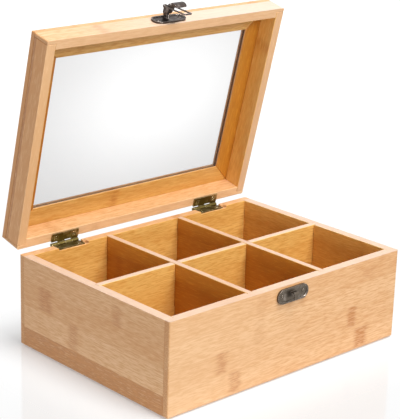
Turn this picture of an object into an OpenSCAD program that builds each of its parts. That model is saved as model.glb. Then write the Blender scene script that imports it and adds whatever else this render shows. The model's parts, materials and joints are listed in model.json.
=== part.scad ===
// Bamboo tea bag organizer: a box of six compartments under a hinged window
// lid that closes with a small toggle latch.
//
// Millimetres, +Z up. X runs along the front wall, +Y points to the back. The
// origin is the centre of the underside. The lid is drawn standing open.

/* [Box] */
// Outside length of the box, along the front wall
box_w = 230; // [200:1:320]
// Outside depth of the box, front to back
box_d = 166; // [140:1:240]
// Height of the box walls without the lid
box_h = 71; // [58:1:110]
// Thickness of the wall boards
wall_t = 7.5; // [6.5:0.1:10]
// Thickness of the front and back boards left outside the end walls
box_lap = 5; // [3:0.1:6]
// Rounding of the upright outer edges
edge_r = 1.5; // [0.5:0.1:3]
// Rounding of the outer edges that rest on the table
foot_r = 3; // [1:0.1:4]

/* [Bottom] */
// Thickness of the bottom panel
bottom_t = 5; // [4:0.1:8]
// Thickness of the tongue round the bottom panel
tongue_t = 2.4; // [1.5:0.1:3]
// Depth of the wall grooves that hold the tongue
tongue_depth = 3; // [2:0.1:4]

/* [Dividers] */
// Thickness of the divider boards
divider_t = 5; // [3:0.1:7]
// Depth of the housings that hold the divider ends in the walls
housing_depth = 2; // [1:0.1:3]
// Distance from the middle of the box to each short divider
short_divider_x = 36; // [25:0.5:60]
// Distance of the long divider behind the middle of the box
long_divider_y = 0; // [-20:0.5:20]

/* [Lid] */
// Height of the lid rails
rail_h = 15; // [10:0.5:25]
// Thickness of the lid rails
rail_t = 7.5; // [6.5:0.1:10]
// Thickness of the front and back rails left outside the side rails
rail_lap = 3; // [2:0.1:5]
// Thickness of the mitred frame on top of the rails
frame_t = 5; // [4.5:0.1:8]
// Width of the mitred frame boards
frame_w = 22; // [18:0.5:35]
// Thickness of the clear window pane
pane_t = 2; // [1.5:0.1:3]
// Depth of the grooves that hold the pane
pane_groove = 4; // [3:0.5:6]
// Rounding of the lid's outer top edges
lid_top_r = 1.5; // [0.5:0.1:3]
// Gap between the closed lid and the box
lid_gap = 0.4; // [0.2:0.1:0.6]
// Angle at which the lid stands open
lid_open = 76.5; // [30:0.5:95]

/* [Hinges] */
// Length of each butt hinge
hinge_len = 25; // [20:1:40]
// Distance from the middle of the box to the middle of each hinge
hinge_x = 71.5; // [50:0.5:90]
// Distance from the hinge pin to the edge of a leaf
leaf_reach = 9.2; // [8:0.1:9.5]
// Thickness of the hinge leaves
leaf_t = 0.9; // [0.7:0.1:1.2]
// Space between the two leaves when the lid is closed
leaf_gap = 0.6; // [0.4:0.1:0.8]
// Distance of the hinge pin behind the back wall
pin_offset = 3; // [2.4:0.1:4]
// Diameter of the hinge pin
pin_d = 1.5; // [1:0.1:2]
// Outside diameter of the knuckles round the pin
knuckle_d = 3.2; // [2.6:0.1:4]
// Distance between the two screws of a leaf
screw_pitch = 16.8; // [12:0.2:20]
// Diameter of the screw shanks
screw_d = 2; // [1.5:0.1:2.5]
// Diameter of the screw heads
screw_head_d = 3.6; // [3:0.1:4.5]
// Length of the hinge screws
screw_len = 8; // [5:0.5:10]

/* [Catch and latch] */
// Length of the oval metal plates
plate_w = 30.5; // [28:0.5:40]
// Height of the oval metal plates
plate_h = 11; // [10.5:0.5:13]
// Thickness of the oval metal plates
plate_t = 1; // [0.7:0.1:1.2]
// Height of the raised border on the plates
plate_border = 0.6; // [0.3:0.1:0.8]
// Distance from the box rim to the middle of the catch plate
catch_drop = 7.5; // [7:0.1:10]
// Distance from the lid rim to the middle of the latch plate
latch_rise = 7; // [6.5:0.1:8.5]
// Distance from the middle of the latch plate up to the latch pivot
pivot_lift = 3.8; // [3.5:0.1:4]
// Distance from the lid's front face to the latch pivot
pivot_out = 5; // [4.8:0.1:5.6]
// Distance between the lever's two pivots
crank_r = 4.8; // [4.6:0.1:5.2]
// Length of the straight part of the latch lever from its pivot
lever_len = 10; // [9:0.1:11]
// Radius of the curve in the lever's bill
bill_r = 5; // [4.5:0.1:6]
// Width of the lever's bill
bill_w = 10.4; // [8:0.2:13]
// Length of the bail between its pivot and its cross bar
bail_len = 22.8; // [22.5:0.1:23.5]
// Width of the hook tongue on the catch
tongue_w = 4.4; // [4:0.1:6]
// Length of the hook tongue
tongue_len = 5.3; // [4.5:0.1:5.4]
// Angle of the lever from its closed position as it stands open
lever_open = 115; // [105:1:118]
// Angle by which the open bail stands off the lid's face
bail_tilt = 6; // [4:0.5:8]
// Distance between the two nails of a plate
nail_pitch = 21; // [19:0.5:23]
// Diameter of the nail shanks
nail_d = 1.5; // [1:0.1:2]
// Length of the nails
nail_len = 6; // [4:0.5:7]

/* [Fits] */
// Clearance on each side of a board in its groove or housing
board_fit = 0.1; // [0.05:0.01:0.2]
// Radial clearance of pins in their knuckles
pin_fit = 0.06; // [0.03:0.01:0.1]
// Radial clearance of screws and nails in their pilot holes
pilot_fit = 0.02; // [0.01:0.01:0.05]
// Side gap between moving pieces of the metalwork
side_gap = 0.3; // [0.2:0.05:0.4]

/* [Hidden] */
$fn = 48;

bamboo = "burlywood";
bamboo_dark = "peru";
bronze = "dimgray";
brass = "darkkhaki";

half_w = box_w / 2;
half_d = box_d / 2;
over = 1;                      // how far a cutting shape runs past a face

// Closed lid: heights of its rim, of the frame on its rails and of its top.
rim_z = box_h + lid_gap;
frame_z = rim_z + rail_h;
lid_top_z = frame_z + frame_t;

// Hinge axis: both leaves lie between the box top and the lid rim.
axis_y = half_d + pin_offset;
axis_z = rim_z - leaf_t - leaf_gap / 2;
box_leaf_z = axis_z - leaf_gap / 2 - leaf_t;
knuckles = 4;
knuckle_len = hinge_len / knuckles;
knuckle_relief = 0.8;          // how far a leaf stays back from a knuckle
screw_inset = leaf_reach - 3.6; // from the pin to the row of screws
head_h = (screw_head_d - screw_d) / 2;
recess_end_r = 2.2;            // round end left by the cutter beside a leaf

// Catch and latch: distances out from the front face, heights from the rim.
// From the middle outwards: ears of the base, cheeks of the lever, bail.
border_w = 1.2;
ear_gap = 1;                   // between the two ears
ear_t = 0.8;
ear_r = 1.7;
cheek_t = 0.8;
lever_w = ear_gap + 2 * ear_t + 2 * cheek_t + 2 * side_gap;
arm_w = 0.9;                   // width of the bail's strips
arm_t = 0.9;                   // thickness of the bail
bail_gap = 0.5;                // between the bail and what it goes round
bail_w = max(lever_w, tongue_w) + 2 * bail_gap + 2 * arm_w;
pivot_d = 1.4;
bail_pin_d = 1.2;
crank_angle = 22;              // of the bail pivot behind the closed lever
lever_t = 1;                   // thickness of the lever's plate
lever_plate_n = ear_r + side_gap;  // from the pivot to the lever's plate
lever_plate_z = 0.8;           // the plate starts clear of the ears
flare_start = lever_len + 1.5;
bill_sweep = 115;
latch_z = rim_z + latch_rise;
pivot_z = latch_z + pivot_lift;
pivot_y = -half_d - pivot_out;
crank_t = crank_r * cos(crank_angle);
crank_n = -crank_r * sin(crank_angle);
bar_z = pivot_z + crank_t - bail_len;   // cross bar of the closed bail
bar_w = 1.2;
hook_t = 1;
hook_top_z = bar_z + bar_w / 2 + side_gap + hook_t;
hook_reach = pivot_out + crank_n + arm_t / 2 + 0.5 + hook_t;
hook_bend_r = 1.5;
catch_z = box_h - catch_drop;

// ---------------------------------------------------------------- shapes

// Rectangle about the origin with round corners.
module round_rect(w, d, r) {
    square([w - 2 * r, d], center = true);
    square([w, d - 2 * r], center = true);
    for (x = [-1, 1], y = [-1, 1])
        translate([x * (w / 2 - r), y * (d / 2 - r)]) circle(r);
}

// Upright outline, w wide from z = 0 to z = h, with its lower corners round.
module round_foot(w, h, r) {
    translate([-w / 2, r]) square([w, h - r]);
    translate([-w / 2 + r, 0]) square([w - 2 * r, h]);
    for (x = [-1, 1]) translate([x * (w / 2 - r), r]) circle(r);
}

// Block with round upright edges and round lower edges, its foot at z = 0.
module soft_block(w, d, h, side_r, low_r) {
    intersection() {
        linear_extrude(h) round_rect(w, d, side_r);
        translate([-w / 2 - over, 0, 0]) rotate([90, 0, 90])
            linear_extrude(w + 2 * over) round_foot(d, h, low_r);
        translate([0, d / 2 + over, 0]) rotate([90, 0, 0])
            linear_extrude(d + 2 * over) round_foot(w, h, low_r);
    }
}

// Oval with straight long sides.
module stadium(w, h) {
    square([w - h, h], center = true);
    for (x = [-1, 1]) translate([x * (w - h) / 2, 0]) circle(h / 2);
}

// Turns what is drawn closed into the place it has with the lid standing open.
module opened() {
    translate([0, axis_y, axis_z]) rotate([-lid_open, 0, 0])
        translate([0, -axis_y, -axis_z]) children();
}

// The outside of the box and of the closed lid.
module box_block() {
    soft_block(box_w, box_d, box_h, edge_r, foot_r);
}

module lid_block() {
    translate([0, 0, lid_top_z]) mirror([0, 0, 1])
        soft_block(box_w, box_d, lid_top_z - rim_z, edge_r, lid_top_r);
}

// ---------------------------------------------------------------- joinery

// Groove for the bottom panel's tongue, cut in all four walls at once.
module bottom_groove() {
    w = box_w - 2 * wall_t + 2 * tongue_depth + 2 * board_fit;
    d = box_d - 2 * wall_t + 2 * tongue_depth + 2 * board_fit;
    translate([-w / 2, -d / 2, (bottom_t - tongue_t) / 2 - board_fit])
        cube([w, d, tongue_t + 2 * board_fit]);
}

// Housings for the divider ends, open at the top of the walls.
module divider_housings() {
    t = divider_t + 2 * board_fit;
    w = box_w - 2 * wall_t + 2 * housing_depth;
    d = box_d - 2 * wall_t + 2 * housing_depth;
    h = box_h - bottom_t + over;
    translate([-w / 2, long_divider_y - t / 2, bottom_t]) cube([w, t, h]);
    for (x = [-1, 1])
        translate([x * short_divider_x - t / 2, -d / 2, bottom_t]) cube([t, d, h]);
}

// Recess in the box rim for both leaves of one hinge, open to the inside.
module hinge_recess(x) {
    y0 = half_d - wall_t - over;
    z0 = box_leaf_z;
    w = hinge_len + 2 * side_gap;
    translate([x - w / 2, y0, z0]) cube([w, wall_t + 2 * over, box_h]);
    translate([x + w / 2, half_d - wall_t + recess_end_r, z0])
        cylinder(r = recess_end_r, h = box_h);
    translate([x + w / 2, y0, z0]) cube([recess_end_r, over + recess_end_r, box_h]);
}

// Pilot holes for the four screws of the box leaves.
module box_screw_pilots() {
    for (s = [-1, 1]) for (p = [-1, 1])
        translate([s * hinge_x + p * screw_pitch / 2, axis_y - screw_inset, axis_z])
            mirror([0, 0, 1])
                cylinder(d = screw_d + 2 * pilot_fit, h = screw_len + 2 * leaf_t);
}

module lid_screw_pilots() {
    for (s = [-1, 1]) for (p = [-1, 1])
        translate([s * hinge_x + p * screw_pitch / 2, axis_y - screw_inset, axis_z])
            cylinder(d = screw_d + 2 * pilot_fit, h = screw_len + 2 * leaf_t);
}

// Pilot holes for the two nails of a plate on the front, at height z.
module nail_pilots(z) {
    for (p = [-1, 1])
        translate([p * nail_pitch / 2, -half_d - over, z]) rotate([-90, 0, 0])
            cylinder(d = nail_d + 2 * pilot_fit, h = nail_len + over + 0.3);
}

// ---------------------------------------------------------------- box

// Front and back boards run the full length and lap over the end walls.
module long_wall(side) {
    intersection() {
        box_block();
        difference() {
            translate([-half_w, side > 0 ? half_d - wall_t : -half_d, 0])
                cube([box_w, wall_t, box_h]);
            for (x = [-1, 1])
                translate([x * (half_w - wall_t / 2 + over / 2), 0, box_h / 2])
                    cube([wall_t + over, box_d - 2 * box_lap, box_h + 2 * over],
                         center = true);
            bottom_groove();
            divider_housings();
        }
    }
}

module front_wall() {
    color(bamboo) difference() {
        long_wall(-1);
        nail_pilots(catch_z);
    }
}

module back_wall() {
    color(bamboo) difference() {
        long_wall(1);
        for (s = [-1, 1]) hinge_recess(s * hinge_x);
        box_screw_pilots();
    }
}

// End walls fit between the laps of the front and back boards.
module end_wall(side) {
    color(bamboo) intersection() {
        box_block();
        difference() {
            translate([side > 0 ? half_w - wall_t : -half_w, -half_d + box_lap, 0])
                cube([wall_t, box_d - 2 * box_lap, box_h]);
            bottom_groove();
            divider_housings();
        }
    }
}

module left_wall() { end_wall(-1); }
module right_wall() { end_wall(1); }

module bottom_panel() {
    w = box_w - 2 * wall_t;
    d = box_d - 2 * wall_t;
    color(bamboo_dark) union() {
        translate([-w / 2 + board_fit, -d / 2 + board_fit, 0])
            cube([w - 2 * board_fit, d - 2 * board_fit, bottom_t]);
        translate([-w / 2 - tongue_depth, -d / 2 - tongue_depth,
                   (bottom_t - tongue_t) / 2])
            cube([w + 2 * tongue_depth, d + 2 * tongue_depth, tongue_t]);
    }
}

// The dividers cross in half laps: the long one is slotted from the top.
module long_divider() {
    w = box_w - 2 * wall_t + 2 * housing_depth - 2 * board_fit;
    slot = divider_t + 2 * board_fit;
    lap_z = bottom_t + (box_h - bottom_t) / 2 - board_fit;
    color(bamboo_dark) difference() {
        translate([-w / 2, long_divider_y - divider_t / 2, bottom_t])
            cube([w, divider_t, box_h - bottom_t]);
        for (x = [-1, 1])
            translate([x * short_divider_x - slot / 2,
                       long_divider_y - divider_t / 2 - over, lap_z])
                cube([slot, divider_t + 2 * over, box_h]);
    }
}

module short_divider(x) {
    d = box_d - 2 * wall_t + 2 * housing_depth - 2 * board_fit;
    slot = divider_t + 2 * board_fit;
    lap_z = bottom_t + (box_h - bottom_t) / 2;
    color(bamboo_dark) difference() {
        translate([x - divider_t / 2, -d / 2, bottom_t])
            cube([divider_t, d, box_h - bottom_t]);
        translate([x - divider_t / 2 - over, long_divider_y - slot / 2, 0])
            cube([divider_t + 2 * over, slot, lap_z]);
    }
}

module short_divider_left() { short_divider(-short_divider_x); }
module short_divider_right() { short_divider(short_divider_x); }

// ---------------------------------------------------------------- lid

// Front and back rails run the full length and lap over the side rails.
module long_rail(side) {
    intersection() {
        lid_block();
        difference() {
            translate([-half_w, side > 0 ? half_d - rail_t : -half_d, rim_z])
                cube([box_w, rail_t, rail_h]);
            for (x = [-1, 1])
                translate([x * (half_w - rail_t / 2 + over / 2), 0,
                           rim_z + rail_h / 2])
                    cube([rail_t + over, box_d - 2 * rail_lap, rail_h + 2 * over],
                         center = true);
        }
    }
}

module lid_rail_front() {
    color(bamboo) opened() difference() {
        long_rail(-1);
        nail_pilots(latch_z);
    }
}

module lid_rail_back() {
    color(bamboo) opened() difference() {
        long_rail(1);
        lid_screw_pilots();
    }
}

module side_rail(side) {
    color(bamboo) opened() intersection() {
        lid_block();
        translate([side > 0 ? half_w - rail_t : -half_w, -half_d + rail_lap, rim_z])
            cube([rail_t, box_d - 2 * rail_lap, rail_h]);
    }
}

module lid_rail_left() { side_rail(-1); }
module lid_rail_right() { side_rail(1); }

// Space for the pane in the grooves of the mitred frame.
module pane_slot() {
    w = box_w - 2 * frame_w + 2 * pane_groove;
    d = box_d - 2 * frame_w + 2 * pane_groove;
    translate([-w / 2, -d / 2, frame_z + (frame_t - pane_t) / 2 - board_fit])
        cube([w, d, pane_t + 2 * board_fit]);
}

// Outline of the front frame board (side -1) or the back one (side 1).
module frame_long_outline(side) {
    polygon([[-half_w, side * half_d], [half_w, side * half_d],
             [half_w - frame_w, side * (half_d - frame_w)],
             [-half_w + frame_w, side * (half_d - frame_w)]]);
}

// Outline of the left frame board (side -1) or the right one (side 1).
module frame_side_outline(side) {
    polygon([[side * half_w, -half_d], [side * half_w, half_d],
             [side * (half_w - frame_w), half_d - frame_w],
             [side * (half_w - frame_w), -half_d + frame_w]]);
}

// A frame board: its outline, grooved for the pane, within the lid's outside.
module frame_board() {
    color(bamboo) opened() intersection() {
        lid_block();
        difference() {
            translate([0, 0, frame_z]) linear_extrude(frame_t) children();
            pane_slot();
        }
    }
}

module lid_frame_front() { frame_board() frame_long_outline(-1); }
module lid_frame_back() { frame_board() frame_long_outline(1); }
module lid_frame_left() { frame_board() frame_side_outline(-1); }
module lid_frame_right() { frame_board() frame_side_outline(1); }

module window_pane() {
    slack = 0.4;
    w = box_w - 2 * frame_w + 2 * (pane_groove - slack);
    d = box_d - 2 * frame_w + 2 * (pane_groove - slack);
    color("lightcyan", 0.4) opened()
        translate([-w / 2, -d / 2, frame_z + (frame_t - pane_t) / 2])
            cube([w, d, pane_t]);
}

// ---------------------------------------------------------------- hinges

// Screw through a leaf whose face is at z = 0, pointing down.
module wood_screw() {
    slot_w = 0.5;
    slot_l = screw_head_d * 0.55;
    difference() {
        union() {
            translate([0, 0, -head_h])
                cylinder(d1 = screw_d, d2 = screw_head_d, h = head_h);
            translate([0, 0, -screw_len]) cylinder(d = screw_d, h = screw_len);
        }
        for (a = [0, 90]) rotate([0, 0, a])
            translate([-slot_l / 2, -slot_w / 2, -0.45]) cube([slot_l, slot_w, over]);
    }
}

// Countersunk hole for one screw in a leaf whose face is at z = 0.
module screw_hole() {
    d = screw_d + 4 * pilot_fit;
    sink = head_h + pilot_fit;
    translate([0, 0, -2 * over]) cylinder(d = d, h = 3 * over);
    translate([0, 0, -sink]) cylinder(d1 = d, d2 = d + 2 * sink, h = sink);
}

// Leaf with knuckles about the pin on the X axis. The leaf reaches towards -Y
// and its inner face lies below the pin. first is its first knuckle, 0 or 1.
module hinge_leaf(first) {
    r = knuckle_d / 2;
    face = -leaf_gap / 2;
    stay = r + knuckle_relief;
    difference() {
        union() {
            translate([-hinge_len / 2, -leaf_reach, face - leaf_t])
                cube([hinge_len, leaf_reach - stay, leaf_t]);
            for (k = [first : 2 : knuckles - 1])
                translate([-hinge_len / 2 + k * knuckle_len + side_gap / 2, 0, 0]) {
                    translate([0, -stay - over, face - leaf_t])
                        cube([knuckle_len - side_gap, stay + over, leaf_t]);
                    rotate([0, 90, 0]) cylinder(r = r, h = knuckle_len - side_gap);
                }
        }
        translate([-hinge_len, 0, 0]) rotate([0, 90, 0])
            cylinder(d = pin_d + 2 * pin_fit, h = 2 * hinge_len);
        for (p = [-1, 1])
            translate([p * screw_pitch / 2, -screw_inset, face]) screw_hole();
    }
}

module box_leaf(x) {
    color(brass) translate([x, axis_y, axis_z]) hinge_leaf(0);
}

// The lid's leaf is the box's leaf turned over, with the other knuckles.
module lid_leaf(x) {
    color(brass) opened() translate([x, axis_y, axis_z])
        mirror([0, 0, 1]) hinge_leaf(1);
}

module hinge_pin(x) {
    cap = 0.3;
    color(brass) translate([x - hinge_len / 2 - cap, axis_y, axis_z])
        rotate([0, 90, 0]) cylinder(d = pin_d, h = hinge_len + 2 * cap);
}

module hinge_left_box_leaf() { box_leaf(-hinge_x); }
module hinge_right_box_leaf() { box_leaf(hinge_x); }
module hinge_left_lid_leaf() { lid_leaf(-hinge_x); }
module hinge_right_lid_leaf() { lid_leaf(hinge_x); }
module hinge_left_pin() { hinge_pin(-hinge_x); }
module hinge_right_pin() { hinge_pin(hinge_x); }

// The four screws of the box leaves, as seen from the pins.
module leaf_screws() {
    for (s = [-1, 1], p = [-1, 1])
        translate([s * hinge_x + p * screw_pitch / 2, -screw_inset, -leaf_gap / 2])
            wood_screw();
}

module box_hinge_screws() {
    color(brass) translate([0, axis_y, axis_z]) leaf_screws();
}

module lid_hinge_screws() {
    color(brass) opened() translate([0, axis_y, axis_z])
        mirror([0, 0, 1]) leaf_screws();
}

// ---------------------------------------------------------------- latch

// Oval plate with a raised border and two nail holes, its back at y = 0.
module oval_plate() {
    rotate([90, 0, 0]) difference() {
        union() {
            linear_extrude(plate_t) stadium(plate_w, plate_h);
            linear_extrude(plate_t + plate_border) difference() {
                stadium(plate_w, plate_h);
                stadium(plate_w - 2 * border_w, plate_h - 2 * border_w);
            }
        }
        for (p = [-1, 1]) translate([p * nail_pitch / 2, 0, -over])
            cylinder(d = nail_d + 2 * pilot_fit, h = plate_t + 2 * over);
    }
}

// Nails through a plate, heads on its face, drawn about the plate's middle.
module plate_nails() {
    head_d = 2.8;
    head_t = 0.7;
    for (p = [-1, 1]) translate([p * nail_pitch / 2, -plate_t, 0]) rotate([90, 0, 0]) {
        translate([0, 0, -nail_len]) cylinder(d = nail_d, h = nail_len + head_t / 2);
        rotate_extrude() intersection() {
            translate([0, head_t - head_d]) circle(head_d);
            square([head_d / 2, head_t]);
        }
    }
}

// Side view of the hook: out from the plate at the top, then down.
module hook_outline() {
    out = hook_reach;
    translate([plate_t / 2, -hook_t])
        square([out - hook_bend_r - plate_t / 2, hook_t]);
    translate([out - hook_t, -tongue_len])
        square([hook_t, tongue_len - hook_bend_r]);
    translate([out - hook_bend_r, -hook_bend_r]) intersection() {
        difference() {
            circle(hook_bend_r);
            circle(hook_bend_r - hook_t);
        }
        square(hook_bend_r + over);
    }
}

module catch_plate() {
    color(bronze) union() {
        translate([0, -half_d, catch_z]) oval_plate();
        translate([-tongue_w / 2, -half_d, hook_top_z]) rotate([90, 0, 90])
            linear_extrude(tongue_w) mirror([1, 0]) hook_outline();
    }
}

module catch_nails() {
    color(bronze) translate([0, -half_d, catch_z]) plate_nails();
}

// Ear of the latch base, seen from the side: an eye on a foot that spreads
// towards the middle of the plate. The first axis runs back to the plate, the
// second up the lid.
module ear_outline() {
    foot = pivot_out - plate_t / 2;
    circle(ear_r);
    polygon([[0, ear_r], [0, -ear_r], [foot, -ear_r - 2], [foot, ear_r - 0.5]]);
}

module latch_base() {
    color(bronze) opened() difference() {
        union() {
            translate([0, -half_d, latch_z]) oval_plate();
            for (x = [-ear_gap / 2 - ear_t, ear_gap / 2])
                translate([x, pivot_y, pivot_z])
                    rotate([90, 0, 90]) linear_extrude(ear_t) ear_outline();
        }
        translate([-plate_w / 2, pivot_y, pivot_z]) rotate([0, 90, 0])
            cylinder(d = pivot_d + 2 * pin_fit, h = plate_w);
    }
}

module latch_nails() {
    color(bronze) opened() translate([0, -half_d, latch_z]) plate_nails();
}

// A pin along the X axis, its middle at x = 0.
module cross_pin(d, w) {
    rotate([0, 90, 0]) cylinder(d = d, h = w, center = true);
}

module latch_pivot_pin() {
    cap = 0.15;
    color(bronze) opened() translate([0, pivot_y, pivot_z])
        cross_pin(pivot_d, lever_w + 2 * cap);
}

// Places what is drawn on the closed lever, about its pivot, on the open one.
module on_lever() {
    opened() translate([0, pivot_y, pivot_z]) rotate([lever_open, 0, 0]) children();
}

// Side view of a cheek: the first axis runs away from the lid's face, the
// second along the lever.
module cheek_outline() {
    r = 1.3;
    plate_in = lever_plate_n + lever_t / 2;
    circle(r);
    translate([crank_n, crank_t]) circle(r);
    polygon([[crank_n - r * 0.9, crank_t - r * 0.4], [-r * 0.9, -r * 0.4],
             [plate_in, lever_plate_z], [plate_in, lever_len],
             [crank_n + r * 0.4, crank_t + r * 0.9]]);
}

// Side view of the bill: a strip that curves away from the lid to its lip.
module bill_outline() {
    far = 3 * bill_r;
    out_r = bill_r + lever_t / 2;
    translate([lever_plate_n + out_r, lever_len]) intersection() {
        difference() {
            circle(out_r);
            circle(out_r - lever_t);
        }
        polygon([[0, 0], [-far, 0], [-far, far], [0, far],
                 [-far * cos(bill_sweep), far * sin(bill_sweep)]]);
    }
}

// The bill widens from the lever's width to its own, and has round corners.
module bill() {
    lip_n = lever_plate_n + bill_r * (1 - cos(bill_sweep)) + lever_t;
    corner_r = 2;
    flare_end = flare_start + 1.8;
    intersection() {
        translate([-bill_w / 2, 0, 0]) rotate([90, 0, 90])
            linear_extrude(bill_w) mirror([1, 0]) bill_outline();
        rotate([90, 0, 0]) linear_extrude(3 * bill_r)
            polygon([[-lever_w / 2, 0], [lever_w / 2, 0], [lever_w / 2, flare_start],
                     [bill_w / 2, flare_end], [bill_w / 2, 4 * bill_r],
                     [-bill_w / 2, 4 * bill_r], [-bill_w / 2, flare_end],
                     [-lever_w / 2, flare_start]]);
        translate([0, -lip_n, lever_len - over]) linear_extrude(3 * bill_r)
            round_foot(bill_w, 3 * bill_r, corner_r);
    }
}

module latch_lever() {
    color(bronze) on_lever() difference() {
        union() {
            for (x = [-lever_w / 2, lever_w / 2 - cheek_t])
                translate([x, 0, 0]) rotate([90, 0, 90])
                    linear_extrude(cheek_t) mirror([1, 0]) cheek_outline();
            translate([-lever_w / 2, -lever_plate_n - lever_t, lever_plate_z])
                cube([lever_w, lever_t, lever_len - lever_plate_z]);
            bill();
        }
        cross_pin(pivot_d + 2 * pin_fit, plate_w);
        translate([0, -crank_n, crank_t])
            cross_pin(bail_pin_d + 2 * pilot_fit, plate_w);
    }
}

module latch_bail_pin() {
    cap = 0.3;
    color(bronze) on_lever() translate([0, -crank_n, crank_t])
        cross_pin(bail_pin_d, bail_w + 2 * cap);
}

// Outline of the bail: two strips joined by a cross bar with round corners.
// Its pivot is at the origin.
module bail_outline() {
    difference() {
        translate([0, -bail_len - bar_w / 2]) round_foot(bail_w, bail_len, 1.5);
        translate([-bail_w / 2 + arm_w, -bail_len + bar_w / 2])
            square([bail_w - 2 * arm_w, bail_len]);
    }
    for (x = [-1, 1]) translate([x * (bail_w - arm_w) / 2, -bar_w])
        square([arm_w, 2 * bar_w], center = true);
}

// The open bail hangs from the lever's second pivot.
module latch_bail() {
    eye_r = 1.2;
    a = lever_open - crank_angle;
    y = pivot_y - crank_r * sin(a);
    z = pivot_z + crank_r * cos(a);
    color(bronze) opened() translate([0, y, z]) rotate([-bail_tilt, 0, 0])
        difference() {
            union() {
                translate([0, arm_t / 2, 0]) rotate([90, 0, 0])
                    linear_extrude(arm_t) bail_outline();
                for (x = [-1, 1]) translate([x * (bail_w - arm_w) / 2, 0, 0])
                    rotate([0, 90, 0]) cylinder(r = eye_r, h = arm_w, center = true);
            }
            cross_pin(bail_pin_d + 2 * pin_fit, plate_w);
        }
}

// ---------------------------------------------------------------- nodes

front_wall();
back_wall();
left_wall();
right_wall();
bottom_panel();
long_divider();
short_divider_left();
short_divider_right();
lid_rail_front();
lid_rail_back();
lid_rail_left();
lid_rail_right();
lid_frame_front();
lid_frame_back();
lid_frame_left();
lid_frame_right();
window_pane();
hinge_left_box_leaf();
hinge_left_lid_leaf();
hinge_left_pin();
hinge_right_box_leaf();
hinge_right_lid_leaf();
hinge_right_pin();
box_hinge_screws();
lid_hinge_screws();
catch_plate();
catch_nails();
latch_base();
latch_nails();
latch_pivot_pin();
latch_lever();
latch_bail_pin();
latch_bail();
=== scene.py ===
import json
import math
import zlib

import bmesh
import bpy
import numpy as np
from bpy.props import FloatProperty, FloatVectorProperty, PointerProperty
from mathutils import Matrix, Vector


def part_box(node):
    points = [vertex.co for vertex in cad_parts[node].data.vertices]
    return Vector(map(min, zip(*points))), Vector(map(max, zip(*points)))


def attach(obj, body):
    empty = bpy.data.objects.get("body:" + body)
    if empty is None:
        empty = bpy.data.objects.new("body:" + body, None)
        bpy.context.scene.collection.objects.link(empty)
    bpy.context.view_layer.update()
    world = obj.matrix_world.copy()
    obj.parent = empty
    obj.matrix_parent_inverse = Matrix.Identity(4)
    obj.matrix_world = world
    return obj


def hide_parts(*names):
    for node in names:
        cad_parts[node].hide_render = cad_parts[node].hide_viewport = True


bl_info = {
    "name": "Bamboo Tea Box",
    "version": (1, 0, 0),
    "blender": (4, 5, 0),
    "location": "View3D > Sidebar > Tea Box",
    "description": "Finishes a bamboo tea bag organizer: boards, window, hinges and latch",
    "category": "Object",
}

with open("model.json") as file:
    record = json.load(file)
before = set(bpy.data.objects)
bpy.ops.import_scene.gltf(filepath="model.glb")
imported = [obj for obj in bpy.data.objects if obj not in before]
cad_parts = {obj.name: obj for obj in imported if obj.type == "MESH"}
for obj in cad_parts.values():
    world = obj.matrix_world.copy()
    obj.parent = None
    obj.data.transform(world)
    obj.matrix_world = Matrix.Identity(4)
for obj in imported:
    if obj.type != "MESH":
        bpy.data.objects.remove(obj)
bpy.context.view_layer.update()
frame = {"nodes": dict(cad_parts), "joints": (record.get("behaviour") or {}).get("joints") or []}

MM = 0.001

# ------------------------------------------------------------------ the frame

LID_HINGE = next(joint for joint in frame["joints"] if joint["name"] == "lid_hinge")
LID_AXIS = Vector(LID_HINGE["pos_m"])
# Turns a direction or an offset of the closed lid into the lid as it stands open.
LID_TURN = Matrix.Rotation(math.radians(LID_HINGE["range_deg"][0]), 3, "X")


def opened(point):
    """The place that a point of the closed lid takes with the lid standing open."""
    return LID_AXIS + LID_TURN @ (Vector(point) - LID_AXIS)


# ------------------------------------------------------------------ settings

# What all colours, and all shares from 0 to 1, have in common.
COLOUR = {"subtype": "COLOR", "size": 3, "min": 0.0, "max": 1.0}
SHARE = {"subtype": "FACTOR", "min": 0.0, "max": 1.0}


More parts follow.
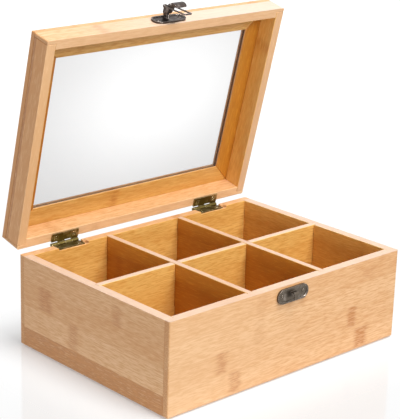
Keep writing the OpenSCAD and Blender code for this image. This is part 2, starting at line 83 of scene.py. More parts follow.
class BambooSettings(bpy.types.PropertyGroup):
    """Colours and sizes of the laminated bamboo boards."""

    pale: FloatVectorProperty(
        name="Pale Bamboo",
        description="Colour of the light fibres",
        default=(0.79, 0.482, 0.243),
        **COLOUR,
    )
    # Painted highlight: the colour of the rims under the left and the back rail of the lid,
    # paler for the light that falls on them.
    bright: FloatVectorProperty(
        name="Bright Rim",
        description="Colour of the rims under the left and the back rail of the lid",
        default=(1.0, 0.70, 0.40),
        **COLOUR,
    )
    # The palest fibres are the wood's own; the rims under the lid's front and right rails and
    # the left end of the box's front take this colour as painted highlight.
    highlight: FloatVectorProperty(
        name="Palest Fibres",
        description="Colour of the palest fibres and of the other rims under the lid",
        default=(0.86, 0.56, 0.31),
        **COLOUR,
    )
    # Painted highlight: the paler colour that the upper edges and the lid's front rail take for
    # the strong light from above.
    sanded: FloatVectorProperty(
        name="Overlit Rim",
        description="Colour of the sanded edges that pale towards grey",
        default=(0.68, 0.57, 0.50),
        **COLOUR,
    )
    # Painted shade: the faces inside the box and the lid are deeper for the shade and the orange
    # light bounced between the boards.
    inner: FloatVectorProperty(
        name="Inner Tint",
        description="Factor by which unfaded faces inside the box and the lid are deeper",
        default=(1.0, 0.99, 0.56),
        **COLOUR,
    )
    # Painted shade: the even deeper tint of the short dividers and of the window frame's sides,
    # on the faces that turn away from the lamps.
    shaded: FloatVectorProperty(
        name="Deep Inner Tint",
        description="Factor for the short dividers and the sides of the window frame",
        default=(0.84, 0.665, 0.16),
        **COLOUR,
    )
    brown: FloatVectorProperty(
        name="Brown Fibres",
        description="Colour of the darker carbonised fibres",
        default=(0.60, 0.27, 0.08),
        **COLOUR,
    )
    node: FloatVectorProperty(
        name="Nodes",
        description="Colour of the node patches",
        default=(0.47, 0.165, 0.028),
        **COLOUR,
    )
    umber: FloatVectorProperty(
        name="End Grain and Glue",
        description="Colour of the end grain's dots and of the glue lines",
        default=(0.38, 0.14, 0.03),
        **COLOUR,
    )
    strip_width: FloatProperty(
        name="Strip Width",
        description="Width of the bamboo strips that a board is glued from",
        unit="LENGTH",
        default=0.0178,
        min=0.005,
        max=0.04,
    )
    node_pitch: FloatProperty(
        name="Node Spacing",
        description="Distance between two node rings along one strip",
        unit="LENGTH",
        default=0.21,
        min=0.05,
        max=0.5,
    )
    edge: FloatProperty(
        name="Edge Break",
        description="Width of the small bevel that sanding leaves on the board edges",
        unit="LENGTH",
        default=0.00045,
        min=0.0,
        max=0.002,
    )
    roughness: FloatProperty(
        name="Lacquer Roughness",
        description="Roughness of the satin lacquer",
        default=0.42,
        **SHARE,
    )
    coat: FloatProperty(
        name="Lacquer",
        description="How much satin lacquer lies on the wood",
        default=0.3,
        **SHARE,
    )


class MetalSettings(bpy.types.PropertyGroup):
    """Colours of the hinges and of the latch."""

    bronze: FloatVectorProperty(
        name="Latch Bronze",
        description="Dark colour of the latch",
        default=(0.075, 0.058, 0.052),
        **COLOUR,
    )
    # Painted reflection: the catch has the latch's bronze, painted paler to stand in for the
    # light it reflects.
    catch_bronze: FloatVectorProperty(
        name="Catch Bronze",
        description="Colour of the catch and its nails, whose dark finish is thinner",
        default=(0.13, 0.105, 0.08),
        **COLOUR,
    )
    bronze_worn: FloatVectorProperty(
        name="Worn Bronze",
        description="Colour where the dark finish is rubbed thin",
        default=(0.66, 0.58, 0.52),
        **COLOUR,
    )
    brass: FloatVectorProperty(
        name="Hinge Brass",
        description="Dark colour of the antiqued hinges",
        default=(0.17, 0.125, 0.035),
        **COLOUR,
    )
    brass_worn: FloatVectorProperty(
        name="Worn Brass",
        description="Colour where the hinges' antique finish is rubbed thin",
        default=(0.92, 0.78, 0.45),
        **COLOUR,
    )
    edge: FloatProperty(
        name="Metal Edge",
        description="Radius of the worn edges of the stamped metal",
        unit="LENGTH",
        default=0.0002,
        min=0.0,
        max=0.001,
    )


class PaneSettings(bpy.types.PropertyGroup):
    """The clear window pane."""

    tint: FloatVectorProperty(
        name="Pane Tint",
        description="Colour of the clear pane",
        default=(0.16, 0.165, 0.175),
        **COLOUR,
    )
    body: FloatProperty(
        name="Pane Body",
        description="How much of the view the pane itself takes",
        default=0.03,
        **SHARE,
    )


class StageSettings(bpy.types.PropertyGroup):
    """Floor, lights and camera."""

    floor: FloatVectorProperty(
        name="Floor",
        description="Colour of the floor",
        default=(0.865, 0.88, 0.895),
        **COLOUR,
    )
    key_power: FloatProperty(
        name="Key Light",
        description="Power of the large soft lamp high in front",
        unit="POWER",
        default=14.4,
        min=0.0,
    )
    top_power: FloatProperty(
        name="Top Light",
        description="Power of the soft lamp over the object",
        unit="POWER",
        default=21.0,
        min=0.0,
    )
    fill_power: FloatProperty(
        name="Fill Light",
        description="Power of the low lamp at the left",
        unit="POWER",
        default=5.5,
        min=0.0,
    )
    ambient: FloatProperty(
        name="Ambient",
        description="Strength of the even light from all round",
        default=0.12,
        min=0.0,
        max=2.0,
    )
    lens: FloatProperty(
        name="Focal Length",
        description="Focal length of the camera",
        unit="CAMERA",
        default=125.94,
        min=10.0,
        max=400.0,
    )


# ------------------------------------------------------------------ shaders


class Num:
    """A socket's number, so that sums on it add Math nodes to its tree."""

    def __init__(self, shader, socket):
        self.shader = shader
        self.socket = socket

    def _math(self, operation, *values):
        node = self.shader.node("Math", {"operation": operation}, dict(enumerate(values)))
        return Num(self.shader, node.outputs[0])

    def __add__(self, other):
        return self._math("ADD", self, other)

    __radd__ = __add__

    def __mul__(self, other):
        return self._math("MULTIPLY", self, other)

    __rmul__ = __mul__

    def __sub__(self, other):
        return self._math("SUBTRACT", self, other)

    def __rsub__(self, other):
        return self._math("SUBTRACT", other, self)

    def __truediv__(self, other):
        return self._math("DIVIDE", self, other)

    def __rtruediv__(self, other):
        return self._math("DIVIDE", other, self)

    def __abs__(self):
        return self._math("ABSOLUTE", self)

    def __gt__(self, other):
        return self._math("GREATER_THAN", self, other)

    def __lt__(self, other):
        return self._math("LESS_THAN", self, other)

    def floor(self):
        return self._math("FLOOR", self)

    def wrap(self, low, high):
        """The number moved into low to high by whole steps."""
        return self._math("WRAP", self, high, low)

    def power(self, exponent):
        return self._math("POWER", self, exponent)

    def ramp(self, low, high):
        """0 below low, 1 above high and a smooth slope between."""
        settings = {"interpolation_type": "SMOOTHSTEP"}
        inputs = {"Value": self, "From_Min": low, "From_Max": high}
        node = self.shader.node("MapRange", settings, **inputs)
        return Num(self.shader, node.outputs["Result"])


class Shader:
    """The node tree of a material or of the world, with short ways to add nodes."""

    # A colour Mix node's factor, first colour, second colour and result, by number,
    # because their names are those of its other kinds too.
    MIX_FACTOR, MIX_FIRST, MIX_SECOND, MIX_RESULT = 0, 6, 7, 2

    def __init__(self, group, name):
        self.owner = group.get(name) or group.new(name)
        self.owner.use_nodes = True
        self.tree = self.owner.node_tree
        self.tree.nodes.clear()

    def node(self, kind, settings=None, numbered=None, **named):
        """A node of a kind, with its settings made first and then its sockets.

        Sockets are given by number or by name, and each takes a value or a link.
        """
        node = self.tree.nodes.new("ShaderNode" + kind)
        for name, value in (settings or {}).items():
            setattr(node, name, value)
        inputs = dict(numbered or {})
        inputs.update((name.replace("_", " "), value) for name, value in named.items())
        for key, value in inputs.items():
            if isinstance(value, Num):
                value = value.socket
            if isinstance(value, bpy.types.NodeSocket):
                self.tree.links.new(value, node.inputs[key])
            else:
                node.inputs[key].default_value = value
        return node

    def number(self, socket):
        return Num(self, socket)

    def object_place(self, turn=None, origin=(0, 0, 0), scale=1.0):
        """Object coordinates as a piece's own axes see them, in units of 1 / scale m."""
        turn = turn or Matrix.Identity(3)
        coords = self.node("TexCoord").outputs["Object"]
        shift = -(turn @ Vector(origin)) * scale
        return self.node(
            "Mapping",
            Vector=coords,
            Location=shift,
            Rotation=turn.to_euler(),
            Scale=(scale, scale, scale),
        ).outputs["Vector"]

    def split(self, vector):
        outputs = self.node("SeparateXYZ", Vector=vector).outputs
        return [self.number(outputs[axis]) for axis in "XYZ"]

    def join(self, x, y, z):
        return self.node("CombineXYZ", X=x, Y=y, Z=z).outputs["Vector"]

    def noise(self, vector, scale, detail=2.0, roughness=0.5):
        """Soft noise from 0 to 1, centred on one half."""
        node = self.node(
            "TexNoise", Vector=vector, Scale=scale, Detail=detail, Roughness=roughness
        )
        return self.number(node.outputs["Fac"])

    def chance(self, vector):
        """A random number that is constant where the vector is."""
        node = self.node("TexWhiteNoise", {"noise_dimensions": "3D"}, Vector=vector)
        return self.number(node.outputs["Value"])

    def mix(self, amount, first, second, blend="MIX"):
        """A colour between two colours."""
        settings = {"data_type": "RGBA", "blend_type": blend, "clamp_factor": True}
        inputs = {self.MIX_FACTOR: amount}
        for place, colour in ((self.MIX_FIRST, first), (self.MIX_SECOND, second)):
            linked = isinstance(colour, bpy.types.NodeSocket)
            inputs[place] = colour if linked else (*colour, 1.0)
        return self.node("Mix", settings, inputs).outputs[self.MIX_RESULT]

    def bump(self, height, distance, **normal):
        """A normal that follows a height at half strength."""
        inputs = {"Height": height, "Distance": distance, "Strength": 0.5, **normal}
        return self.node("Bump", **inputs).outputs["Normal"]

    def shown(self):
        """1 for the eye, for reflections and through clear pieces, and 0 for light."""
        path = self.node("LightPath").outputs
        rays = ("Is Camera Ray", "Is Glossy Ray", "Is Transmission Ray")
        seen, mirrored, through = [self.number(path[ray]) for ray in rays]
        return (seen + mirrored + through).ramp(0.0, 1.0)

    def finish(self, surface):
        """The material or the world, with the surface on its output."""
        world = isinstance(self.owner, bpy.types.World)
        self.node("OutputWorld" if world else "OutputMaterial", Surface=surface)
        return self.owner


# Fineness along the grain and across it in 1 / mm, detail and roughness of the noise
# that is drawn out along the grain.
SLOW_CHANGE = (0.008, 0.10, 2.0, 0.5)
FIBRES = (0.025, 0.8, 3.0, 0.65)
DASHES = (0.13, 1.15, 3.0, 0.5)
STREAKS = (0.16, 1.3, 2.0, 0.5)
END_DOTS = (0.2, 1.4, 2.0, 0.5)
# Thickness of the layers of strips, how far a strip's edge wanders as a share of its
# width, and how far the ends of the node patches are torn.
LAYER_MM = 30.0
WANDER = 0.03
TATTER_MM = 9.0
# Depths in mm below a face between which the end grain, another colour of the face,
# mostly painted highlight, and the painted shade of an inner face fade out.
END_SKIN = (0.4, 0.1)
FACE_SKIN = (0.5, 0.2)
INNER_SKIN = (0.5, 0.15)
# Heights of the finest relief on the wood and on the metal, in m.
BAMBOO_RELIEF = 0.0001
METAL_RELIEF = 0.00005
# The end of the axis through the board at which its face lies in the box or the lid.
FACING = {"up": 1.0, "down": -1.0}
SEEDS = 997
SEED_STEP = 0.731


def board_seed(name):
    """A number of its own for every board, so that no two have the same grain."""
    return (zlib.crc32(name.encode()) % SEEDS) * SEED_STEP


def skin(level, half, depths):
    """1 on the face at the half size and 0 deeper in, with a smooth fade between."""
    return level.ramp(half - depths[0], half - depths[1])


def drawn_out(sh, place, look, offset):
    """Noise with long features along the grain, moved through the board by offset."""
    lengthwise, crosswise, *texture = look
    along, across, through = place
    at = sh.join(along * lengthwise, across * crosswise, through * crosswise + offset)
    return sh.noise(at, 1.0, *texture)


def strips(sh, place, half, strip_mm, seed):
    """Two random numbers for each strip, and 1 on the thin glue lines between them.

    The strips lie side by side across the board, in layers through it, and their
    edges wander a little along the grain.
    """
    along, across, through = place
    wander = (sh.noise(sh.join(along * 0.01, seed, 0.0), 1.0) - 0.5) * WANDER
    lane = (across + half[1]) / strip_mm + wander
    strip = lane.floor()
    layer = (through / LAYER_MM + 0.5).floor()
    tone = sh.chance(sh.join(strip, layer, seed))
    other = sh.chance(sh.join(strip, layer, seed + 11.0))
    glue = 1.0 - (0.5 - abs(lane - strip - 0.5)).ramp(0.002, 0.014)
    return tone, other, glue


def node_patches(sh, place, tone, other, pitch_mm, knots, seed):
    """How strong the dark patches are that the rings of the cane leave, ragged at the ends.

    With no knots given, each strip has its own row of patches, a pitch apart.
    """
    along, across, _ = place
    tatter = sh.join(along * 0.03, across * 0.5, seed + 5.0)
    ragged = along + (sh.noise(tatter, 1.0, 3.0, 0.6) - 0.5) * TATTER_MM
    if not knots:
        moved = ragged + tone * pitch_mm + other * 37.0
        from_ring = moved.wrap(-pitch_mm / 2, pitch_mm / 2)
        return (1.0 - abs(from_ring).ramp(0.5, 7.5)) * (other * 0.7 + 0.1)
    patch = 0.0
    for at, high, length, width, strength in knots:
        near = 1.0 - abs(ragged - at).ramp(length * 0.35, length * 1.35)
        level = 1.0 - abs(across - high).ramp(width - 1.6, width + 0.4)
        patch = near * level * strength + patch
    return patch


def bamboo(
    name, grain, settings, deep, inside="", tint="inner", knots=(), bands=(), pale_sides=()
):
    """Laminated bamboo under satin lacquer, in the board's own axes.

    grain holds the turn from object axes to (along the grain, across the strips,
    through the board), the board's middle and its half sizes in mm. deep darkens the
    whole board, as painted shade on boards that turn away from the lamps. Strips each
    have their own tone; knots replaces their random node patches by (along, across,
    half length, half width, strength), and bands deepens strips as (low, high, amount)
    across. Fibres are noise drawn out along the grain, which turns to dots on the end
    grain. inside tells which broad faces lie in the box or the lid, where the wood is
    deeper by the tint as painted shade. pale_sides lists faces of another colour, most
    of them painted highlight: an axis and its sign, the name of the colour, the amount,
    and the two places along the board between which it comes in.
    """
    turn, origin, half = grain
    sh = Shader(bpy.data.materials, name)
    place = sh.split(sh.object_place(turn, origin, scale=1.0 / MM))
    along, across, through = place
    seed = board_seed(name)

    tone, other, glue = strips(sh, place, half, settings.strip_width / MM, seed)
    patch = node_patches(sh, place, tone, other, settings.node_pitch / MM, knots, seed)
    slow = drawn_out(sh, place, SLOW_CHANGE, seed)
    fibre = drawn_out(sh, place, FIBRES, seed)
    dash = drawn_out(sh, place, DASHES, -seed)
    streak = drawn_out(sh, place, STREAKS, seed)
    dots = drawn_out(sh, place, END_DOTS, 0.0)
    dashes = dash.ramp(0.50, 0.62)
    fleck = streak.ramp(0.40, 0.60)
    end = skin(abs(along), half[0], END_SKIN)

    depth = tone * 0.30 + slow.ramp(0.3, 0.75) * 0.26 + deep
    for low, high, amount in bands:
        depth = depth + (across > low) * (across < high) * amount
    colour = sh.mix(depth, settings.pale, settings.brown)
    colour = sh.mix(depth * 0.5 - 0.5, colour, settings.umber)
    colour = sh.mix(fibre.ramp(0.40, 0.70) * 0.46, colour, settings.brown)
    colour = sh.mix(dashes * 0.62, colour, settings.brown)
    colour = sh.mix(dash.ramp(0.34, 0.46) * -0.36 + 0.36, colour, settings.highlight)
    colour = sh.mix(patch * (fleck * 0.62 + 0.38), colour, settings.node)
    colour = sh.mix(glue * 0.16, colour, settings.umber)
    colour = sh.mix(end * (dots.ramp(0.4, 0.66) * 0.35 + 0.22), colour, settings.umber)
    for axis, sign, shade, amount, low, high in pale_sides:
        face = skin(place[axis] * sign, half[axis], FACE_SKIN) * along.ramp(low, high)
        colour = sh.mix(face * amount, colour, getattr(settings, shade))
    if inside:
        side = abs(through) if inside == "both" else through * FACING[inside]
        deeper = sh.mix(1.0, colour, getattr(settings, tint), "MULTIPLY")
        colour = sh.mix(skin(side, half[2], INNER_SKIN), colour, deeper)

    height = fibre * 0.5 + streak * 0.3 - dashes * 0.3 - patch * 0.3 - glue * 0.4
    surface = sh.node(
        "BsdfPrincipled",
        Base_Color=colour,
        Roughness=settings.roughness + (fibre - 0.5) * 0.2 + end * 0.15,
        Normal=sh.bump(height, BAMBOO_RELIEF),
        Coat_Weight=settings.coat,
        Coat_Roughness=0.22,
    )
    return sh.finish(surface.outputs[0])


def antique_metal(name, dark, worn, edge):
    """Antiqued metal: a dark finish rubbed thin on edges and in soft patches.

    The Bevel node's normal differs from the true one only near an edge, and that
    difference is the wear.
    """
    sh = Shader(bpy.data.materials, name)
    place = sh.object_place(scale=1.0 / MM)
    patches = sh.noise(place, 0.22, 3.0, 0.55)
    grain = sh.noise(place, 5.0, 2.0)
    rounded = sh.node("Bevel", {"samples": 4}, Radius=edge).outputs["Normal"]
    true = sh.node("NewGeometry").outputs["Normal"]
    turned = sh.node("VectorMath", {"operation": "DOT_PRODUCT"}, {0: rounded, 1: true})
    rubbed = (1.0 - sh.number(turned.outputs["Value"])).ramp(0.001, 0.11)
    wear = rubbed * (patches * 0.9 + 0.7) + patches.ramp(0.48, 0.74) * 0.26
    speck = (grain - 0.5) * 0.3
    surface = sh.node(
        "BsdfPrincipled",
        Base_Color=sh.mix(wear + speck * 0.25, dark, worn),
        Metallic=1.0,
        Roughness=0.36 - wear * 0.14 + speck * 0.3,
        Normal=sh.bump(patches * 0.6 + grain * 0.4, METAL_RELIEF, Normal=rounded),
    )
    return sh.finish(surface.outputs[0])


# Middle of the window in the closed lid and the middle of its clearest part from there,
# in m, and the squares of that part's half axes, in m2.
WINDOW_MIDDLE = (0, 0, 0.089)
CLEAR_MIDDLE = (0.010, -0.008)
CLEAR_AXES_SQUARED = (0.0087, 0.0037)
# How much more of the view the pane takes at its rim than in its middle: partly haze,
# partly painted reflection.
RIM_REFLECTION = 0.19


def clear_pane(settings):
    """Clear sheet: most of the view passes through a slightly hazy gloss.

    The sheet takes more of the view towards its rim, partly haze and partly painted
    reflection, in a smooth rise with the distance from the centre of an ellipse, as
    counted in its half axes.
    """
    sh = Shader(bpy.data.materials, "clear_pane")
    place = sh.object_place(LID_TURN.transposed(), opened(WINDOW_MIDDLE))
    haze = sh.noise(place, 9.0, 1.0)
    x, y, _ = sh.split(place)
    x, y = x - CLEAR_MIDDLE[0], y - CLEAR_MIDDLE[1]
    spread = x * x / CLEAR_AXES_SQUARED[0] + y * y / CLEAR_AXES_SQUARED[1]
    rim = spread.power(0.5).ramp(0.0, 1.8)
    surface = sh.node(
        "BsdfPrincipled",
        Base_Color=(*settings.tint, 1.0),
        Roughness=haze * 0.06 + 0.04,
        IOR=1.49,
        Alpha=rim * RIM_REFLECTION + settings.body,
    )
    return sh.finish(surface.outputs[0])


# ------------------------------------------------------------------ pieces


def set_material(obj, material):
    obj.data.materials.clear()
    obj.data.materials.append(material)
    obj.data.polygons.foreach_set(
        "material_index", np.zeros(len(obj.data.polygons), np.int32)
    )


# In the bevelled copies, vertices closer than MERGE are one, faces that turn by less
# than FLAT are one flat face, and edges that turn by more than SHARP are broken where
# they are longer than SHORTEST bevel widths.
MERGE = 1e-6
FLAT = math.radians(0.5)
SHARP = math.radians(35)
SHORTEST = 3


def worked_copy(node, width):
    """A merged copy of a CAD node whose long sharp edges are broken by a bevel.

    Shorter edges are the facets of round stretches, and stay.
    """
    source = frame["nodes"][node]
    mesh = bpy.data.meshes.new(node + "_worked")
    bm = bmesh.new()
    bm.from_mesh(source.data)
    bmesh.ops.remove_doubles(bm, verts=bm.verts, dist=MERGE)
    bmesh.ops.dissolve_limit(bm, angle_limit=FLAT, verts=bm.verts, edges=bm.edges)
    sharp = [
        e
        for e in bm.edges
        if len(e.link_faces) == 2
        and e.calc_face_angle() > SHARP
        and e.is_convex
        and e.calc_length() > SHORTEST * width
    ]
    for face in bm.faces:
        face.smooth = False
    made = bmesh.ops.bevel(
        bm,
        geom=sharp,
        offset=width,
        offset_type="OFFSET",
        segments=3,
        profile=0.6,
        affect="EDGES",
        clamp_overlap=False,
    )
    for face in made["faces"]:
        face.smooth = True
    bmesh.ops.remove_doubles(bm, verts=bm.verts, dist=MERGE)
    bmesh.ops.dissolve_degenerate(bm, dist=MERGE, edges=bm.edges)
    bm.to_mesh(mesh)
    bm.free()
    obj = bpy.data.objects.new(node + "_worked", mesh)
    bpy.context.scene.collection.objects.link(obj)
    return obj


def board(node, body, along, across, deep=0.0, slot="bamboo", **look):
    """One board: a worked copy of its CAD node in bamboo laid along the given axis."""
    settings = bpy.context.scene.tea_bamboo
    obj = worked_copy(node, settings.edge)
    turn = Matrix((along, across, Vector(along).cross(Vector(across))))
    if body == "lid":
        turn = turn @ LID_TURN.transposed()
    source = frame["nodes"][node].data
    points = np.empty(len(source.vertices) * 3)
    source.vertices.foreach_get("co", points)
    local = points.reshape(-1, 3) @ np.array(turn).T
    low, high = local.min(axis=0), local.max(axis=0)
    origin = turn.transposed() @ Vector((low + high) / 2)
    half = ((high - low) / 2 / MM).tolist()
    grain = (turn, origin, half)
    set_material(obj, bamboo("bamboo_" + node, grain, settings, deep, **look))
    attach(obj, body)
    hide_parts(node)


# Unit axes of the closed box: along the width, along the depth and upward.
WIDE, DEEP, TALL = (1, 0, 0), (0, 1, 0), (0, 0, 1)

# Node patches of the front wall and of the left wall: along and across in mm from the
# board's middle, half length and half width in mm, and strength.
FRONT_KNOTS = (
    (66.0, -6.5, 5.0, 8.6, 0.9),
    (77.0, -25.0, 7.0, 8.2, 0.95),
    (-67.0, -7.0, 6.0, 8.6, 1.0),
    (-53.5, -24.5, 6.0, 8.4, 1.0),
    (-30.0, 26.0, 5.0, 8.0, 0.3),
    (-31.0, 7.0, 6.0, 10.0, 0.3),
    (82.0, 24.5, 8.0, 5.0, 0.3),
)
LEFT_KNOTS = (
    (52.0, 8.9, 8.0, 9.2, 0.75),
    (-29.0, 22.0, 6.0, 8.0, 0.55),
    (19.0, -9.5, 6.0, 10.5, 0.6),
)
# Strips of the left rail of the lid and of the left wall that are deeper in colour, or
# paler where the amount is negative: low edge, high edge and amount.
RAIL_BANDS = ((4.7, 8.0, 1.7),)
LEFT_BANDS = ((-36.0, -19.5, 1.75), (-1.5, 17.0, 0.12), (-19.5, -1.5, -0.16))
# Faces of another colour: the axis across or through the board and its sign, the
# colour, the amount, and the places along the board, in mm from its middle, between
# which it comes in. Both places of ALL_ALONG lie beyond the end of every board.
ACROSS, THROUGH = 1, 2
ALL_ALONG = (-900.0, -800.0)
# The upper edges of the dividers and of all walls but the back one, which stands in the
# lid's shade, are paler: painted highlight of the light from above. The pale edges under
# the lid's rails are painted highlight too, brighter at the left and the back, and the
# left board of the window frame is browner at its outer edge.
LIT_TOP_RIM = (ACROSS, 1, "sanded", 0.5, *ALL_ALONG)
LIT_RAIL_RIM = (ACROSS, -1, "highlight", 0.5, *ALL_ALONG)
BRIGHT_LIT_RIM = (ACROSS, -1, "bright", 0.45, *ALL_ALONG)
BROWN_RIM = (ACROSS, -1, "brown", 0.3, *ALL_ALONG)
# The front rail of the lid pales towards its right end, and the front of the box towards
# its left end: painted highlight where the lamps fall stronger.
LIT_RAIL_FRONT = (THROUGH, 1, "sanded", 0.68, -140.0, 60.0)
LIT_FRONT_FACE = (THROUGH, 1, "highlight", 0.35, 60.0, -120.0)


class TEABOX_OT_walls(bpy.types.Operator):
    """Finish the four walls of the box"""

    bl_idname = "teabox.walls"
    bl_label = "Walls"

    def execute(self, context):
        # The paler upper edges of the walls and the paler left end of the front are painted
        # highlight.
        front = {"knots": FRONT_KNOTS, "pale_sides": (LIT_TOP_RIM, LIT_FRONT_FACE)}
        rim = {"pale_sides": (LIT_TOP_RIM,)}
        left = {"knots": LEFT_KNOTS, "bands": LEFT_BANDS, **rim}
        board("front_wall", "box", WIDE, TALL, inside="down", **front)
        board("back_wall", "box", WIDE, TALL, inside="up")
        # The left and the right wall are deeper all over: painted shade for their faces that
        # turn away from the lamps.
        board("left_wall", "box", DEEP, TALL, deep=0.1, inside="up", **left)
        board("right_wall", "box", DEEP, TALL, deep=0.3, inside="down", **rim)
        return {"FINISHED"}


class TEABOX_OT_bottom(bpy.types.Operator):
    """Finish the bottom panel"""

    bl_idname = "teabox.bottom"
    bl_label = "Bottom"

    def execute(self, context):
        board("bottom_panel", "box", WIDE, DEEP, inside="up", slot="inner_bamboo")
        return {"FINISHED"}


class TEABOX_OT_dividers(bpy.types.Operator):
    """Finish the long divider and the two short ones that cross it"""

    bl_idname = "teabox.dividers"
    bl_label = "Dividers"

    def execute(self, context):
        look = {"slot": "inner_bamboo", "inside": "both", "pale_sides": (LIT_TOP_RIM,)}
        # The short dividers are deeper and take the deep inner tint: painted shade on the faces
        # that turn away from the lamps. The paler upper edges are painted highlight.
        cross = {"deep": 0.5, "tint": "shaded", **look}
        board("long_divider", "box", WIDE, TALL, **look)
        board("short_divider_left", "box", DEEP, TALL, **cross)
        board("short_divider_right", "box", DEEP, TALL, **cross)
        return {"FINISHED"}


class TEABOX_OT_lid_rails(bpy.types.Operator):
    """Finish the four rails of the lid"""

    bl_idname = "teabox.lid_rails"
    bl_label = "Lid Rails"

    def execute(self, context):
        # The paler rims under the rails and the paler right end of the front rail are painted
        # highlight.
        front = {"inside": "down", "pale_sides": (LIT_RAIL_RIM, LIT_RAIL_FRONT)}
        left = {"inside": "up", "pale_sides": (BRIGHT_LIT_RIM,), "bands": RAIL_BANDS}
        right = {"inside": "down", "pale_sides": (LIT_RAIL_RIM,)}
        board("lid_rail_front", "lid", WIDE, TALL, **front)
        board("lid_rail_back", "lid", WIDE, TALL, pale_sides=(BRIGHT_LIT_RIM,))
        # The side rails are deeper: painted shade on the faces that turn away from the lamps.
        board("lid_rail_left", "lid", DEEP, TALL, deep=0.6, **left)
        board("lid_rail_right", "lid", DEEP, TALL, deep=0.4, **right)
        return {"FINISHED"}


class TEABOX_OT_lid_frame(bpy.types.Operator):
    """Finish the four mitred boards round the window"""

    bl_idname = "teabox.lid_frame"
    bl_label = "Window Frame"

    def execute(self, context):
        # The side boards, and a little the back board, are deeper: painted shade.
        side = {"inside": "up", "tint": "shaded"}
        left = {"deep": 0.8, "pale_sides": (BROWN_RIM,), **side}
        board("lid_frame_front", "lid", WIDE, DEEP, inside="down")
        board("lid_frame_back", "lid", WIDE, DEEP, deep=0.12, inside="down")
        board("lid_frame_left", "lid", DEEP, WIDE, **left)
        board("lid_frame_right", "lid", DEEP, WIDE, deep=0.3, **side)
        return {"FINISHED"}


class TEABOX_OT_pane(bpy.types.Operator):
    """Finish the clear window pane"""

    bl_idname = "teabox.pane"
    bl_label = "Window Pane"

    def execute(self, context):
        set_material(frame["nodes"]["window_pane"], clear_pane(context.scene.tea_pane))
        return {"FINISHED"}


def finish_metal(word, material):
    """Gives the material to every CAD node that has the word in its name."""
    for name, obj in frame["nodes"].items():
        if word in name:
            set_material(obj, material)


class TEABOX_OT_hinges(bpy.types.Operator):
    """Finish the hinge leaves, pins and screws"""

    bl_idname = "teabox.hinges"
    bl_label = "Hinges"

    def execute(self, context):
        metal = context.scene.tea_metal
        brass = antique_metal("antique_brass", metal.brass, metal.brass_worn, metal.edge)
        finish_metal("hinge", brass)
        return {"FINISHED"}


class TEABOX_OT_latch(bpy.types.Operator):
    """Finish the catch plate and the latch with its lever and bail"""

    bl_idname = "teabox.latch"
    bl_label = "Catch and Latch"

    def execute(self, context):
        metal = context.scene.tea_metal
        worn, edge = metal.bronze_worn, metal.edge
        finish_metal("latch", antique_metal("dark_bronze", metal.bronze, worn, edge))
        # The catch is painted paler than the latch: painted reflection.
        finish_metal("catch", antique_metal("catch_bronze", metal.catch_bronze, worn, edge))
        return {"FINISHED"}


# ------------------------------------------------------------------ stage

# Lamps: place, target and width in m.
MIDDLE = (0, 0, 0.09)
LAMPS = {
    "key": ((0.1, -1.25, 0.85), MIDDLE, 0.7),
    "top": ((0.12, -0.40, 1.4), MIDDLE, 0.7),
    "fill": ((-1.3, -0.2, 0.16), (0, 0, 0.03), 0.3),
}
FLOOR_REACH = 6.0
# Distances in m from the box's outline between which the floor turns plain white. The
# first lies inside it, so that the floor is part white at the outline already.
SHADOW_FADE = (-0.05, 0.07)
# Strength of the white floor's glow, and what it counts for as a light, where 1 is what
# the eye sees.
FLOOR_GLOW = 0.86
FLOOR_LIGHT = 0.4
BLACK, WHITE = (0.0, 0.0, 0.0), (1.0, 1.0, 1.0)


def soft_lamp(name, place, target, width, power):
    """A square area lamp that faces a target."""
    data = bpy.data.lights.new(name, "AREA")
    data.shape = "SQUARE"
    data.size = width
    data.energy = power
    obj = bpy.data.objects.new(name, data)
    obj.location = place
    aim = Vector(target) - Vector(place)
    obj.rotation_euler = aim.to_track_quat("-Z", "Y").to_euler()
    bpy.context.scene.collection.objects.link(obj)


def white_world(ambient):
    """White to the eye, to reflections and through the pane; dimmer as a light."""
    sh = Shader(bpy.data.worlds, "studio")
    strength = sh.shown() * (1.0 - ambient) + ambient
    background = sh.node("Background", Color=(*WHITE, 1.0), Strength=strength)
    bpy.context.scene.world = sh.finish(background.outputs[0])


def floor_material(settings):
    """Pale floor that keeps the shadow near the box and turns plain white farther out.

    The glow beyond the shadow counts as white for the eye and for reflections, and less
    as a light.
    """
    sh = Shader(bpy.data.materials, "pale_floor")
    place = sh.object_place()
    x, y, _ = sh.split(place)
    cloud = sh.noise(place, 3.0, 2.0)
    half_x, half_y = [abs(side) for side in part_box("front_wall")[0][:2]]
    gap_x = (abs(x) - half_x) * (abs(x) > half_x)
    gap_y = (abs(y) - half_y) * (abs(y) > half_y)
    far = (gap_x * gap_x + gap_y * gap_y).power(0.5).ramp(*SHADOW_FADE)
    glow = sh.shown() * (1.0 - FLOOR_LIGHT) + FLOOR_LIGHT
    surface = sh.node(
        "BsdfPrincipled",
        Base_Color=sh.mix(far, settings.floor, BLACK),
        Emission_Color=sh.mix(far * glow, BLACK, WHITE),
        Emission_Strength=FLOOR_GLOW,
        Roughness=cloud * 0.04 + 0.07,
    )
    return sh.finish(surface.outputs[0])


def add_camera(settings):
    """The camera at the front left, looking down a little on the box."""
    place = Vector((-0.70783, -0.74233, 0.43613))
    right = Vector((0.736387, -0.675945, 0.028858))
    up = Vector((0.188252, 0.245682, 0.950895))
    back = right.cross(up)
    data = bpy.data.cameras.new("camera")
    data.lens = settings.lens
    data.sensor_width = 36.0
    data.clip_start = 0.01
    data.clip_end = 50.0
    obj = bpy.data.objects.new("camera", data)
    turn = Matrix((right, up, back)).transposed()
    obj.matrix_world = Matrix.Translation(place) @ turn.to_4x4()
    bpy.context.scene.collection.objects.link(obj)
    bpy.context.scene.camera = obj


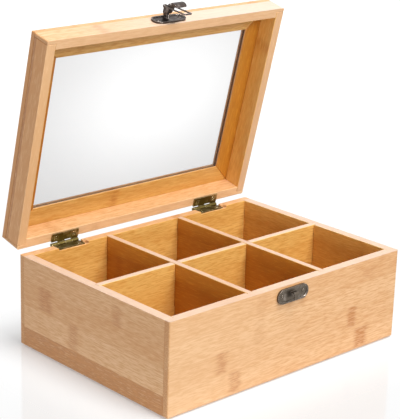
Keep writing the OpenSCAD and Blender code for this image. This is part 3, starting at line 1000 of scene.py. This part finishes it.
class TEABOX_OT_stage(bpy.types.Operator):
    """Set up the floor, the lamps, the world and the camera"""

    bl_idname = "teabox.stage"
    bl_label = "Stage"

    def execute(self, context):
        settings = context.scene.tea_stage
        mesh = bpy.data.meshes.new("floor")
        near, far = -FLOOR_REACH, FLOOR_REACH
        corners = [(near, near, 0), (far, near, 0), (far, far, 0), (near, far, 0)]
        mesh.from_pydata(corners, [], [(0, 1, 2, 3)])
        floor = bpy.data.objects.new("floor", mesh)
        context.scene.collection.objects.link(floor)
        set_material(floor, floor_material(settings))
        for name, (place, target, width) in LAMPS.items():
            power = getattr(settings, name + "_power")
            soft_lamp(name + "_lamp", place, target, width, power)
        white_world(settings.ambient)
        add_camera(settings)
        context.scene.view_settings.view_transform = "Standard"
        return {"FINISHED"}


# ------------------------------------------------------------------ add-on


class TEABOX_PT_panel(bpy.types.Panel):
    """Lists the steps that finish the tea box"""

    bl_idname = "TEABOX_PT_panel"
    bl_label = "Tea Box"
    bl_space_type = "VIEW_3D"
    bl_region_type = "UI"
    bl_category = "Tea Box"

    def draw(self, context):
        for operator in OPERATORS:
            self.layout.operator(operator.bl_idname)


SETTINGS = {
    "tea_bamboo": BambooSettings,
    "tea_metal": MetalSettings,
    "tea_pane": PaneSettings,
    "tea_stage": StageSettings,
}
OPERATORS = (
    TEABOX_OT_walls,
    TEABOX_OT_bottom,
    TEABOX_OT_dividers,
    TEABOX_OT_lid_rails,
    TEABOX_OT_lid_frame,
    TEABOX_OT_pane,
    TEABOX_OT_hinges,
    TEABOX_OT_latch,
    TEABOX_OT_stage,
)


def register():
    for name, group in SETTINGS.items():
        bpy.utils.register_class(group)
        setattr(bpy.types.Scene, name, PointerProperty(type=group))
    for cls in OPERATORS:
        bpy.utils.register_class(cls)
    bpy.utils.register_class(TEABOX_PT_panel)


def unregister():
    bpy.utils.unregister_class(TEABOX_PT_panel)
    for cls in reversed(OPERATORS):
        bpy.utils.unregister_class(cls)
    for name, group in SETTINGS.items():
        delattr(bpy.types.Scene, name)
        bpy.utils.unregister_class(group)


def main():
    """Registers the add-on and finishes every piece."""
    register()
    for operator in OPERATORS:
        group, name = operator.bl_idname.split(".")
        getattr(getattr(bpy.ops, group), name)()


if __name__ == "__main__":
    main()
